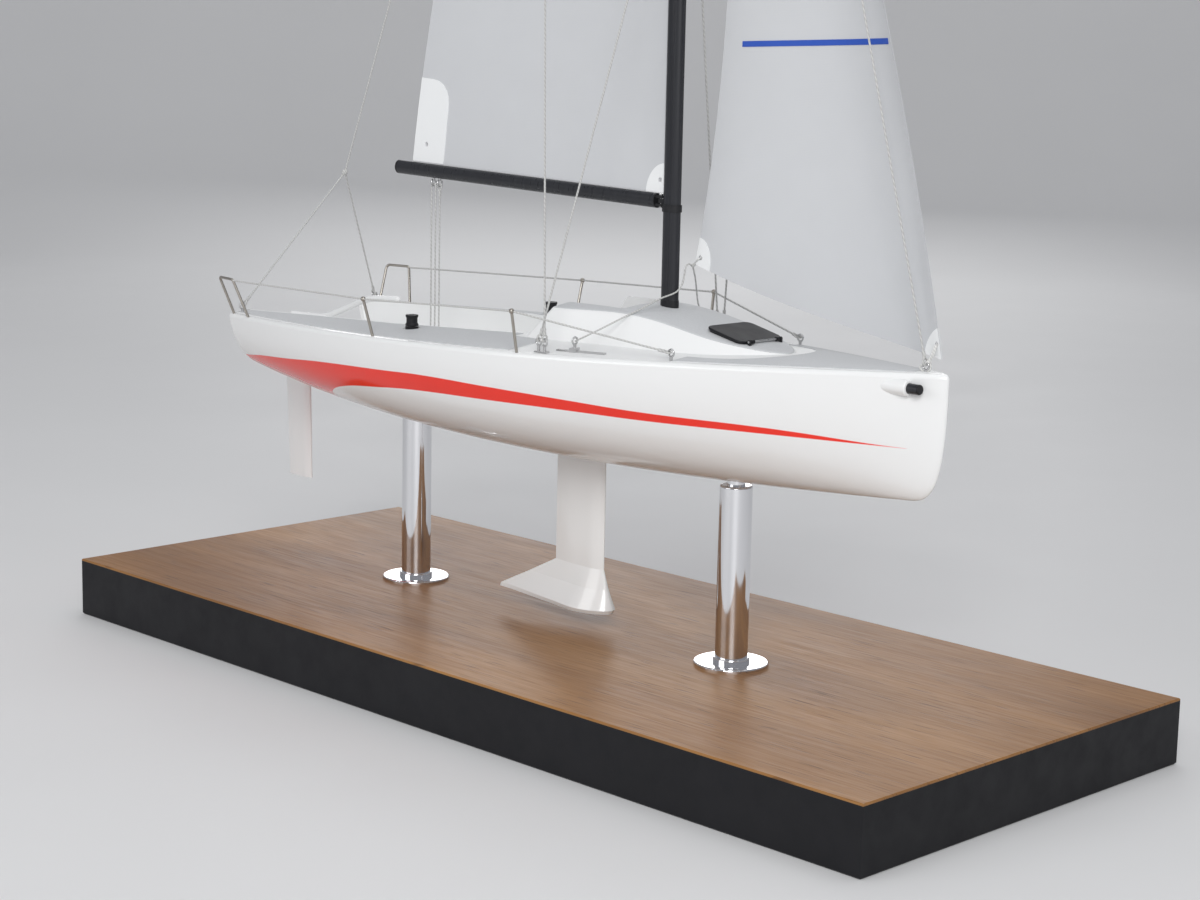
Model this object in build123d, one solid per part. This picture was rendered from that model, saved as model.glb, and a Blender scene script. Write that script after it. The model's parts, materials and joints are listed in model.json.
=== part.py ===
from build123d import *
import os
from math import cos, hypot, radians, sin, tan, tanh

# A 1:20 sport keelboat with sails and rigging, on a two-post display board.
# Millimetres. +X is the bow, +Y is port, +Z is up, and the origin is the middle of the
# board's underside.

# ---- stand ----
BOARD = (426.0, 174.0, 24.0)
VENEER = 0.8
POST_X = (79.8, -97.0)
POST_TOP_Z = (90.3, 95.0)
POST_DIAMETER = 12.0
FLANGE_DIAMETER = 27.4
FLANGE_THICKNESS = 1.2
STUD_DIAMETER = 4.6
NECK_DIAMETER = 6.6

# ---- hull form: control columns from the stem to the transom ----
COLUMN_X = (172, 172, 140, 100, 52, 0, -58, -116, -171.5)
HALF_BEAM = (0, 4, 13.5, 33, 54.5, 64.5, 61, 53.5, 40)
SHEER_Z = (141, 142, 140, 138, 136, 134.4, 132.9, 131.2, 129.4)
KEEL_Z = (97, 96.8, 94.8, 92.4, 89.9, 89.1, 91.9, 97.5, 104.4)
STEM = ((172, 141), (172.3, 126.6), (171.5, 110), (170, 97), (164, 96.6), (154, 97))
FULLNESS = (0.25, 0.51, 0.69)
TRANSOM_RAKE = 0.27
MAX_HALF_BEAM = 57.0
DECK_CROWN = 3.6
WALL = 2.2
DECK_THICKNESS = 1.6
GUNWALE_RADIUS = 1.6
NONSKID = 0.25
GUNWALE_STRIP = 3.4

# ---- cockpit ----
SOLE_Z = 117.0
COCKPIT_WALL = 1.4
COCKPIT_HALF = ((-190, 30.2), (-74, 30.6), (-48, 27.6), (-20, 24.0), (-9, 21.5))
TRANSOM_GATE_HALF = 29.0

# ---- coachroof ----
ROOF_WALL = 1.4
ROOF_EDGE_RADIUS = 2.2
ROOF_CENTRE = ((-10, 152.6), (14, 148.9), (36, 154.8), (54, 153.4), (74, 144.2), (94, 143.0), (118, 137.4))
ROOF_CROWN = 0.0050
ROOF_BASE = ((-8, 31), (20, 31), (38, 30), (56, 30), (80, 28), (98, 21), (114, 0))
ROOF_TOP = ((13.5, 19.5), (24, 18.2), (38, 15.3), (52, 11), (64, 7.5), (74, 4.5), (84, 0))
ROOF_LEVELS = (130.0, 158.0)
COMPANIONWAY_X = (-22.0, 36.0)
COMPANIONWAY_HALF = 15.5
COMPANIONWAY_SILL_Z = 123.0
HATCH_CENTRE = (81.3, 0.0, 144.6)
HATCH_SLOPE = 12.9
HATCH_SIZE = (17.8, 22.8)
HATCH_LID = 0.9
HATCH_PIN_LIFT = 1.3

# ---- keel and rudder ----
FIN_X = (-12.9, 13.4)
FIN_THICKNESS = 3.4
BULB_TOP_Z = 47.0
BULB_BOTTOM_Z = 30.3
TENON = (16.0, 2.0, 98.0)
PINTLE_X = -172.6
PINTLE_DIAMETER = 1.2
PINTLE_Z = (108.0, 114.2)
RUDDER_TIP_Z = 55.4
RUDDER_HEAD_Z = (98.5, 124.8)
TILLER_PATH = ((-180.6, 125.6), (-159, 126.2), (-144.6, 131.2), (-129, 137.4), (-109.6, 138.5))
TILLER_DIAMETER = 2.6

# ---- spars ----
MAST_X = 44.45
MAST_SECTION = (7.5, 5.0)
MAST_WALL = 0.8
MAST_FOOT_Z = 153.4
MAST_TOP_Z = 586.6
CRANE_TOP_Z = 588.2
HOUNDS_Z = 545.0
LOWERS_Z = 326.0
SPREADER_Z = 333.0
SPREADER_TIP = (33.0, 55.2, 331.0)
GOOSENECK_X = 38.9
BOOM_SECTION = (5.4, 4.2)
BOOM_FORE = (36.6, 189.0)
BOOM_AFT = (-108.6, 192.9)
BOOM_WALL = 0.6
BOOM_SLOT_X = (-100.0, 28.5)
BOOM_SLOT_SIDE = 0.12
FOOT_ROPE_DEPTH = 0.8

# ---- sails ----
FILM = 0.35
PATCH = 0.2
HOLE_RADIUS = 0.9
MAIN_LUFF_X = 40.35
MAIN_FOOT_Z = (191.9, 195.7)
MAIN_WIDTH = 140.9
MAIN_HEAD_Z = 584.0
MAIN_CAMBER = 5.5
JIB_TACK_Z = 145.4
JIB_CLEW_Z = 166.7
JIB_CLEW_X = 51.2
JIB_HEAD_Z = 528.0
JIB_CAMBER = 5.0
JIB_TACK_LEAD = 5.3

# ---- rigging ----
WIRE = 0.7
THREAD = 0.6
RING = 1.25
RING_ROD = 0.7
LOOP = 1.15
CHAINPLATE_X = (28.3, 25.3)
CHAINPLATE_Y = 47.0
EYE_Z = 139.7
STAY_FOOT = (162.2, 0.0, 142.8)
BRIDLE_KNOT = (-144.5, 0.0, 188.6)
BACKSTAY_EYE = (-168.2, 35.4, 132.6)
CRANE_X = 20.3
MAINSHEET_X = (-89.0, -86.5, -84.0)
JIB_CAR = (37.0, 40.1)
JIB_CAR_EYE_Z = 140.8
TRACK_RISE = 0.6
SHEET_ROUTES = {
    -1: [
        (50.0, 3.6, 167.1), (49.8, 2.2, 165.9), (49.7, 1.8, 162.8), (49.6, 1.3, 159.8),
        (49.3, -0.7, 157.2), (48.8, -3.1, 156.1), (47.4, -8.1, 154.8), (45.4, -14.2, 151.7),
        (42.6, -23.5, 147.9), (39.6, -32.5, 143.8),
    ],
    1: [
        (47.8, 9.5, 162.2), (45.5, 12.5, 159.3), (41.9, 17.0, 155.0),
        (38.6, 21.2, 150.4), (36.8, 25.0, 146.6), (36.4, 31.0, 143.2),
    ],
}
WINCH = (-57.0, 36.8)
BOWSPRIT_YZ = (-7.6, 136.0)
BOWSPRIT_DIAMETER = 3.5
BOWSPRIT_X = (78.0, 166.4)
RAIL = 1.1
STANCHIONS = (((-60.0, 53.4), (-60.7, 57.8, 147.4)), ((17.8, 50.6), (17.3, 53.1, 150.3)))
HOOPS = ((-169.0, 38.6), (-171.2, 44.8, 145.1), (-158.9, 47.1, 145.2), (-153.2, 43.0))
LIFELINE_END = (78.3, 34.0, 138.9)

SIDES = (-1, 1)
LOW = 60.0
HIGH = 240.0


# ---- helpers ----
def rod(start, end, diameter):
    start = Vector(start)
    span = Vector(end) - start
    plane = Plane(origin=start, z_dir=span.normalized())
    return extrude(plane * Circle(diameter / 2), amount=span.length)


def wire_run(points, diameter, ball=0.5):
    """A tight wire over its points, with a ball of ball diameters' radius at each bend."""
    run = rod(points[0], points[1], diameter)
    for bend, after in zip(points[1:-1], points[2:]):
        run += Pos(*bend) * Sphere(ball * diameter)
        run += rod(bend, after, diameter)
    return run


def bent_rod(points, radius, diameter):
    path = FilletPolyline(*points, radius=radius)
    return sweep(Plane(origin=path @ 0, z_dir=path % 0) * Circle(diameter / 2), path=path)


def curved_rod(points, diameter):
    """A rod or cord bent at each inner point to the largest arc that its runs allow."""
    runs = [Vector(end) - Vector(start) for start, end in zip(points, points[1:])]
    radii = []
    for before, after in zip(runs, runs[1:]):
        half_turn = radians(before.get_angle(after)) / 2
        radii.append(0.45 * min(before.length, after.length) / tan(half_turn))
    print("bend radii", [round(radius, 1) for radius in radii])
    return bent_rod(points, radii, diameter)


def ring(centre, normal, radius, diameter):
    return Plane(origin=Vector(centre), z_dir=Vector(normal)) * Torus(radius, diameter / 2)


def eye(centre, foot, normal):
    """A ring whose stem runs from its rim to a point inside what holds it."""
    centre, foot = Vector(centre), Vector(foot)
    rim = centre + (foot - centre).normalized() * RING
    return ring(centre, normal, RING, RING_ROD) + rod(rim, foot, 1.1)


def loop_end(eye_centre, towards, eye_normal, diameter):
    """The end of a wire: a loop through an eye, and the point where the wire starts."""
    eye_centre = Vector(eye_centre)
    along = (Vector(towards) - eye_centre).normalized()
    centre = eye_centre + along * (LOOP + 0.3)
    loop = ring(centre, along.cross(Vector(eye_normal)), LOOP, diameter)
    start = centre + along * LOOP
    return loop + rod(start, start + along * 2.4, diameter + 0.5), start


def wire_between(first, first_normal, last, last_normal, diameter, bends=()):
    """A wire held at both ends by loops through eyes."""
    route = list(bends)
    first_loop, start = loop_end(first, (route + [last])[0], first_normal, diameter)
    last_loop, end = loop_end(last, ([first] + route)[-1], last_normal, diameter)
    return first_loop + wire_run([start, *route, end], diameter, 0.53) + last_loop


def prism(outline, low=LOW, high=HIGH):
    return extrude(Pos(0, 0, low) * outline, amount=high - low)


def side_block(outline, port=90.0, starboard=-90.0):
    """An outline drawn as (x, z), made into a block that runs across the boat."""
    return extrude(Plane.XZ.offset(-port) * outline, amount=port - starboard)


def plan(half):
    """Plan points given down one side, mirrored and closed across."""
    starboard = [(x, -y) for x, y in half]
    port = [(x, y) for x, y in reversed(half) if y > 0]
    return make_face(Polyline(*starboard, *port, close=True))


def rounded_plan(half):
    """A plan with a straight aft edge and a smooth curve round its nose."""
    starboard = [(x, -y) for x, y in half]
    port = [(x, y) for x, y in reversed(half) if y > 0]
    return make_face([Spline(*starboard, *port), Line(port[-1], starboard[0])])


def save(name, shapes):
    solids = []
    for shape in shapes if isinstance(shapes, (list, tuple)) else [shapes]:
        solids.extend(shape.solids())
    export_step(Compound(solids), f"parts/{name}.step")


def largest(shape):
    return shape.solids().sort_by(SortBy.VOLUME)[-1]


# ---- hull form ----
def fullness(x):
    bow, middle, stern = FULLNESS
    if x > 0:
        return middle + (bow - middle) * x / COLUMN_X[0]
    return middle + (stern - middle) * x / COLUMN_X[-1]


def transom_x(z, inset=0.0):
    return COLUMN_X[-1] + 1.04 * inset + TRANSOM_RAKE * (SHEER_Z[-1] - z)


def hull_rows(inset=0.0, lift=0.0):
    """Control rows of the starboard topside and bottom, sheer first and keel last."""
    rows = []
    last = len(COLUMN_X) - 1
    for i, (stem_x, stem_z) in enumerate(STEM):
        row = []
        for j, column_x in enumerate(COLUMN_X):
            full = fullness(column_x)
            breadth = (1, 1, 0.8 + 0.2 * full, 0.45 + 0.5 * full, 0.2 + 0.45 * full, 0)[i]
            depth = (0, 0.36, 0.62 + 0.18 * full, 0.84 + 0.14 * full, 1, 1)[i]
            beam = max(HALF_BEAM[j] - inset, 0.0)
            keel = KEEL_Z[j] + inset
            x = column_x
            y = beam * breadth
            z = SHEER_Z[j] - (SHEER_Z[j] - keel) * depth
            if i == 0:
                z += lift
            if j < 2:
                x = stem_x - 1.3 * inset
                z = stem_z + (lift, 0, 0, 0.6 * inset, inset, inset)[i]
                y = j * max(beam, 1.2) * (1, 1, 1, 1, 0.8, 0)[i]
            elif j == 2:
                x = column_x + 0.6 * (stem_x - STEM[0][0]) - 0.5 * inset
            elif j == last - 1:
                x = column_x + 0.5 * TRANSOM_RAKE * (SHEER_Z[j] - z)
            elif j == last:
                x = transom_x(z, inset)
            row.append((x, -y, z))
        rows.append(row)
    return rows


def deck_surface(sheer_row):
    """The crowned surface between the two sheers."""
    middle = []
    for x, y, z in sheer_row:
        middle.append((x, 0, z + 2 * DECK_CROWN * -y / MAX_HALF_BEAM))
    edge_x, _, edge_z = sheer_row[-1]
    middle[-1] = (edge_x - TRANSOM_RAKE * (middle[-1][2] - edge_z), 0, middle[-1][2])
    port = [(x, -y, z) for x, y, z in sheer_row]
    return Face.make_bezier_surface([sheer_row, middle, port])


def hull_form(inset=0.0, lift=0.0):
    """The closed form inside a skin that is inset mm thick."""
    rows = hull_rows(inset, lift)
    port_rows = [[(x, -y, z) for x, y, z in row] for row in rows]
    starboard = Face.make_bezier_surface(rows)
    port = Face.make_bezier_surface(port_rows)
    deck = deck_surface(rows[0])
    aft_edges = [face.edges().sort_by(Axis.X)[0] for face in (starboard, port, deck)]
    return Solid(Shell([starboard, port, deck, Face(Wire(aft_edges))]))


def sheer_plan(inset):
    """The deck's plan, inset from the gunwale."""
    starboard = [(x, y) for x, y, z in hull_rows(inset)[0]]
    port = [(x, -y) for x, y in starboard]
    sides = [Bezier(*starboard), Bezier(*port)]
    return make_face([*sides, Line(starboard[-1], port[-1])])


def slab(depth, up=False):
    """The space within depth mm of the deck surface, below it or above it."""
    direction = (0, 0, 1) if up else (0, 0, -1)
    return extrude(deck_surface(hull_rows()[0]), amount=depth, dir=direction)


def height_on(surface, x, y):
    hits = surface.find_intersection_points(Axis((x, y, 0), (0, 0, 1)))
    return max(point.Z for point, normal in hits)


# ---- stand ----
def make_stand(outer):
    length, width, height = BOARD
    core_height = height - VENEER
    board = Pos(0, 0, core_height / 2) * Box(length, width, core_height)
    board = chamfer(board.edges().group_by(Axis.Z)[0], 0.6)
    veneer = Pos(0, 0, height - VENEER / 2) * Box(length, width, VENEER)
    veneer = chamfer(veneer.edges().group_by(Axis.Z)[-1], 0.3)
    flange_top = height + FLANGE_THICKNESS
    flanges, posts, studs = [], [], []
    for x, post_top in zip(POST_X, POST_TOP_Z):
        disc = Pos(x, 0, height + FLANGE_THICKNESS / 2) * Cylinder(FLANGE_DIAMETER / 2, FLANGE_THICKNESS)
        disc = fillet(disc.edges().group_by(Axis.Z)[-1], 0.5)
        collar = Pos(x, 0, flange_top + 0.8) * Cylinder(POST_DIAMETER / 2 + 0.8, 1.6)
        collar = fillet(collar.edges().group_by(Axis.Z)[-1], 0.5)
        post = Pos(x, 0, (flange_top + post_top) / 2) * Cylinder(POST_DIAMETER / 2, post_top - flange_top)
        post = fillet(post.edges().group_by(Axis.Z)[-1], 0.8)
        flanges.append(disc + collar - post)

        neck = Pos(x, 0, post_top + 3) * Cylinder(NECK_DIAMETER / 2, 6) - outer
        shank = rod((x, 0, post_top - 10), (x, 0, post_top + 14), STUD_DIAMETER)
        stud = largest(neck.solids().sort_by(Axis.Z)[0] + shank)
        studs.append(stud)
        posts.append(post - stud)
    save("base_board", board)
    save("base_veneer", veneer)
    save("stand_flanges", flanges)
    save("stand_posts", posts)
    save("stand_studs", studs)
    return studs


# ---- keel ----
def foil(trailing, leading, thickness, z, tail=0.5):
    """A symmetrical foil section with a blunt trailing edge."""
    chord = leading - trailing
    side = ((0.0, tail / 2), (0.35, 0.42 * thickness), (0.65, thickness / 2), (0.9, 0.37 * thickness))
    upper = [(trailing + s * chord, y) for s, y in side]
    lower = [(x, -y) for x, y in reversed(upper)]
    return Pos(0, 0, z) * make_face([Spline(*upper, (leading, 0), *lower), Line(lower[-1], upper[0])])


def bulb_plan(tail, nose, half_width, z):
    """The ballast's plan at one height: round forward, drawn out to a point aft."""
    length = nose - tail
    side = ((0.0, 0.3), (0.35, 0.46 * half_width), (0.65, 0.88 * half_width), (0.88, 0.9 * half_width))
    upper = [(tail + s * length, y) for s, y in side]
    lower = [(x, -y) for x, y in reversed(upper)]
    return Pos(0, 0, z) * make_face([Spline(*upper, (nose, 0), *lower), Line(lower[-1], upper[0])])


def make_keel(outer):
    length, width, top = TENON
    fin = extrude(foil(*FIN_X, FIN_THICKNESS, BULB_TOP_Z), amount=55) - outer
    fin = fin.solids().sort_by(Axis.Z)[0]
    middle = (FIN_X[0] + FIN_X[1]) / 2 + 1
    tenon = Pos(middle, 0, top - 9) * Box(length, width, 18)
    sections = [
        foil(*FIN_X, FIN_THICKNESS, BULB_TOP_Z),
        bulb_plan(-28.0, 15.6, 3.9, 39.5),
        bulb_plan(-44.2, 18.2, 7.6, 31.8),
        bulb_plan(-44.8, 17.4, 6.9, BULB_BOTTOM_Z),
    ]
    save("keel_fin", fin + tenon)
    save("keel_bulb", loft(sections, ruled=True))
    return fin + tenon


# ---- rudder ----
def make_rudder(outer):
    head_low, head_top = RUDDER_HEAD_Z
    blade = loft([
        foil(-182.3, -167.0, 2.3, RUDDER_TIP_Z, 0.4),
        foil(-184.6, -167.9, 2.6, head_low, 0.4),
    ])
    tongue = Pos(-179.4, 0, head_low + 3.5) * Box(6.4, 1.4, 7)
    blade = blade + tongue
    outline = Polyline((-174.6, head_low), (-174.6, head_top), (-182.6, head_top), (-184.4, 112),
                       (-184.4, head_low), close=True)
    head = extrude(Plane.XZ.offset(-2.3) * make_face(outline), amount=4.6)
    head = fillet(head.edges().filter_by(Axis.Z), 0.9)

    tiller_points = [(x, 0, z) for x, z in TILLER_PATH]
    tiller = curved_rod(tiller_points, TILLER_DIAMETER)
    tiller = tiller + Pos(*tiller_points[-1]) * Sphere(TILLER_DIAMETER / 2)

    pintles, gudgeons = [], []
    for z in PINTLE_Z:
        pin = Pos(PINTLE_X, 0, z + 0.6) * Cylinder(PINTLE_DIAMETER / 2, 4.2)
        arm = Pos((PINTLE_X - 174.6) / 2 - 0.2, 0, z + 2.0) * Box(PINTLE_X + 175.0, 2.0, 1.4)
        cap = Pos(PINTLE_X, 0, z + 2.0) * Cylinder(1.1, 1.4)
        straps = [Pos(-176.6, side * 2.6, z + 2.0) * Box(5.0, 0.6, 1.4) for side in SIDES]
        bridge = Pos(-174.4, 0, z + 2.0) * Box(0.6, 5.8, 1.4)
        pintles.append((pin + arm + cap + bridge + straps) - head)

        boss = Pos(PINTLE_X, 0, z) * Cylinder(1.5, 1.8)
        reach = Pos(-168, 0, z) * Box(8.6, 1.8, 1.8)
        flange = Pos(transom_x(z) - 0.5, 0, z) * Box(3.0, 6.0, 4.0)
        hole = Pos(PINTLE_X, 0, z) * Cylinder(PINTLE_DIAMETER / 2 + 0.06, 4)
        fitting = (boss + reach + flange) - hole - outer
        gudgeons.append(largest(fitting))
    save("rudder_blade", blade)
    save("rudder_head", head - blade - tiller)
    save("tiller", tiller)
    save("rudder_pintles", pintles)
    save("gudgeons", gudgeons)


# ---- hull shell and bowsprit ----
def along_bowsprit(start_x, end_x, diameter):
    y, z = BOWSPRIT_YZ
    return rod((start_x, y, z), (end_x, y, z), diameter)


def make_hull(outer, inner, studs, keel):
    sheers = outer.edges().filter_by(lambda edge: edge.length > 300 and edge.center().Z > 120)
    shell = fillet(sheers, GUNWALE_RADIUS) - inner
    gate = Pos(-170, 0, SOLE_Z + 20) * Box(30, 2 * TRANSOM_GATE_HALF, 40)
    fairing = along_bowsprit(144, BOWSPRIT_X[1] - 4.8, BOWSPRIT_DIAMETER + 2.0)
    fairing = fillet(fairing.edges().sort_by(Axis.X)[-1], 0.7)
    bore = along_bowsprit(60, 200, BOWSPRIT_DIAMETER + 0.12)
    shell = shell - gate + (fairing - outer) - bore
    shell = largest(shell - keel - studs)
    save("hull_shell", shell)

    front = BOWSPRIT_X[1]
    tube = along_bowsprit(BOWSPRIT_X[0], front - 0.6, BOWSPRIT_DIAMETER)
    tube = tube - along_bowsprit(BOWSPRIT_X[0], front - 3.0, BOWSPRIT_DIAMETER - 1.2)
    plug = along_bowsprit(front - 0.6, front, BOWSPRIT_DIAMETER - 0.2)
    plug = fillet(plug.edges().sort_by(Axis.X)[-1], 0.4)
    block = Pos(112, BOWSPRIT_YZ[0], 135) * Box(7, 12, 9)
    save("bowsprit_tube", tube)
    save("bowsprit_plug", plug)
    save("bowsprit_guide", largest((block & inner) - slab(DECK_THICKNESS) - bore))


# ---- deck, cockpit and coachroof ----
def cockpit_plan(grow=0.0):
    return plan([(x + (grow if x > -15 else 0), y + grow) for x, y in COCKPIT_HALF])


def roof_surface(rise=0.0):
    reach = 40.0
    drop = ROOF_CROWN * reach**2
    edge = [(x, -reach, z - drop + rise) for x, z in ROOF_CENTRE]
    middle = [(x, 0, z + drop + rise) for x, z in ROOF_CENTRE]
    port = [(x, reach, z) for x, y, z in edge]
    return Face.make_bezier_surface([edge, middle, port])


def inset_plan(half, inset):
    """Plan points moved inwards: the aft edge forward and the sides and nose in."""
    aft_x = half[0][0]
    return [(x + inset * (x == aft_x) - inset * (y == 0), max(y - inset, 0)) for x, y in half]


def roof_form(inset=0.0):
    """The coachroof inside a wall that is inset mm thick, down to below the deck."""
    levels = zip((ROOF_BASE, ROOF_TOP), ROOF_LEVELS)
    sections = [Pos(0, 0, z) * rounded_plan(inset_plan(half, inset)) for half, z in levels]
    under_roof = extrude(roof_surface(-inset), amount=80, dir=(0, 0, -1))
    return loft(sections, ruled=True) & under_roof


def hatch_block(length, width, low, high, radius):
    slope = radians(HATCH_SLOPE)
    plane = Plane(origin=HATCH_CENTRE, x_dir=(cos(slope), 0, -sin(slope)), z_dir=(sin(slope), 0, cos(slope)))
    return extrude(plane.offset(low) * RectangleRounded(length, width, radius), amount=high - low)


def make_deck(inner, footprints):
    deck_slab = slab(DECK_THICKNESS) & inner
    above_deck = slab(40, up=True)
    tub_outer = prism(cockpit_plan(COCKPIT_WALL), SOLE_Z - COCKPIT_WALL)
    tub_inner = prism(cockpit_plan(), SOLE_Z)
    middle = sum(COMPANIONWAY_X) / 2
    door_length = COMPANIONWAY_X[1] - COMPANIONWAY_X[0]
    doorway = Pos(middle, 0) * RectangleRounded(door_length, 2 * COMPANIONWAY_HALF, 3)
    doorway = prism(doorway, COMPANIONWAY_SILL_Z)

    block = roof_form()
    hollow = roof_form(ROOF_WALL)
    rim = block.edges().filter_by(lambda edge: edge.length > 20 and edge.center().Z > 136)
    block = fillet(rim, ROOF_EDGE_RADIUS)
    frame_outer = hatch_block(HATCH_SIZE[0] - 1.6, HATCH_SIZE[1] - 1.6, -3.4, 0.0, 2.2)
    frame_inner = hatch_block(HATCH_SIZE[0] - 5.0, HATCH_SIZE[1] - 5.0, -8.0, 6.0, 1.4)
    over_frame = hatch_block(HATCH_SIZE[0] + 0.8, HATCH_SIZE[1] + 0.8, 0.0, 8.0, 3.4)
    liner = COMPANIONWAY_HALF + ROOF_WALL / 2
    walls = [Pos(middle, side * liner, 140) * Box(door_length, ROOF_WALL, 60) for side in SIDES]
    cabin = largest((block & above_deck) - (hollow - walls) - doorway - frame_outer - over_frame)
    save("coachroof", cabin)
    save("hatch_frame", frame_outer - frame_inner)

    save("deck", largest(deck_slab - tub_outer - hollow))
    tub = (tub_outer - tub_inner) & slab(40) & inner
    save("cockpit_tub", largest(tub - doorway))

    panel = slab(NONSKID, up=True) & prism(sheer_plan(GUNWALE_STRIP))
    clear = prism(cockpit_plan(COCKPIT_WALL + 0.6))
    for x, y, radius in footprints:
        for side in SIDES:
            clear = clear + Pos(x, side * y, 140) * Cylinder(radius, 60)
    aft_cut = Pos(-81, 0, 140) * Box(186, 140, 60)
    fore_cut = prism(plan([(79, 40), (160, 14)]))
    cabin_space = prism(rounded_plan([(x, y - 1.6) if y else (x - 7, 0) for x, y in ROOF_BASE]))
    side_panels = (panel & aft_cut) - clear - cabin_space
    side_panels = [solid for solid in side_panels.solids() if solid.volume > 20]
    save("nonskid_panels", [*side_panels, largest((panel & fore_cut) - cabin_space)])
    return block, cabin


def hatch_pin_point():
    slope = radians(HATCH_SLOPE)
    reach = HATCH_SIZE[0] / 2 + 1.2
    return HATCH_CENTRE[0] + reach * cos(slope), HATCH_CENTRE[2] - reach * sin(slope) + HATCH_PIN_LIFT


def make_hatch(cabin):
    """A tinted lid that swings on a pin along its forward edge."""
    length, width = HATCH_SIZE
    pin_x, pin_z = hatch_pin_point()
    pin = rod((pin_x, -8.6, pin_z), (pin_x, 8.6, pin_z), 0.8)
    lid = hatch_block(length, width, 0.3, 0.3 + HATCH_LID, 3.2)
    lid = fillet(lid.faces().sort_by(Axis.Z)[-1].edges(), 0.35)
    lugs = []
    brackets = []
    for side in SIDES:
        lug = rod((pin_x, side * 7.4, pin_z), (pin_x, side * 5.8, pin_z), 1.5)
        arm = Pos(pin_x - 1.2, side * 6.6, pin_z - 0.15) * Rot(0, HATCH_SLOPE, 0) * Box(2.6, 1.6, 0.6)
        lugs.append((lug + arm) - rod((pin_x, -20, pin_z), (pin_x, 20, pin_z), 0.92))
        bracket = rod((pin_x, side * 8.6, pin_z), (pin_x, side * 7.7, pin_z), 1.5)
        foot = Pos(pin_x + 0.1, side * 8.15, pin_z - 1.6) * Box(1.2, 0.9, 3.0)
        brackets.append(largest((bracket + foot) - cabin - pin))
    save("hatch_lid", lid + lugs)
    save("hatch_brackets", brackets)
    save("hatch_pin", pin)


# ---- spars ----
def ellipse_tube(centre, length, section, wall):
    x_size, y_size = section
    outer = Ellipse(x_size / 2, y_size / 2)
    inner = Ellipse(x_size / 2 - wall, y_size / 2 - wall)
    return extrude(Pos(*centre) * (outer - inner), amount=length)


def ellipse_block(centre, height, section, grow=0.0):
    outline = Ellipse(section[0] / 2 + grow, section[1] / 2 + grow)
    return extrude(Pos(*centre) * outline, amount=height)


def make_mast(roof_block):
    foot = (MAST_X, 0, MAST_FOOT_Z)
    mast = ellipse_tube(foot, MAST_TOP_Z - MAST_FOOT_Z, MAST_SECTION, MAST_WALL)
    height = MAST_FOOT_Z - 148.0
    collar = ellipse_block((MAST_X, 0, 148.0), height, MAST_SECTION, 0.15)
    collar = (collar + ellipse_block(foot, 6.0, MAST_SECTION, -MAST_WALL)) - roof_block
    save("mast", mast)
    save("mast_collar", largest(collar))

    spreaders = []
    for side in SIDES:
        tip = (SPREADER_TIP[0], side * SPREADER_TIP[1], SPREADER_TIP[2])
        root = (MAST_X - 0.5, side * 1.0, SPREADER_Z)
        arm = rod(root, tip, 1.5) + Pos(*tip) * Sphere(1.15)
        socket = rod(root, Vector(root) + (Vector(tip) - Vector(root)).normalized() * 6.5, 2.4)
        spreaders.append((arm + socket) - ellipse_block(foot, 400, MAST_SECTION))
    crane = ellipse_block((MAST_X, 0, MAST_TOP_Z), CRANE_TOP_Z - MAST_TOP_Z, MAST_SECTION, 0.4)
    arm_outline = make_face(Polyline((MAST_X, 1.8), (CRANE_X - 1.2, 1.0), (CRANE_X - 1.2, -1.0),
                                     (MAST_X, -1.8), close=True))
    crane = crane + prism(arm_outline, MAST_TOP_Z, CRANE_TOP_Z)
    return spreaders, crane


def boom_top(x):
    """The height of the boom's top at a station."""
    share = (x - BOOM_FORE[0]) / (BOOM_AFT[0] - BOOM_FORE[0])
    return BOOM_FORE[1] + share * (BOOM_AFT[1] - BOOM_FORE[1]) + BOOM_SECTION[0] / 2


def boom_top_strip(aft_x, fore_x, depth, rise):
    """A strip along the boom's top, drawn as (x, z)."""
    aft_z = boom_top(aft_x)
    fore_z = boom_top(fore_x)
    return make_face(Polyline((aft_x, aft_z - depth), (fore_x, fore_z - depth),
                              (fore_x, fore_z + rise), (aft_x, aft_z + rise), close=True))


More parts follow.
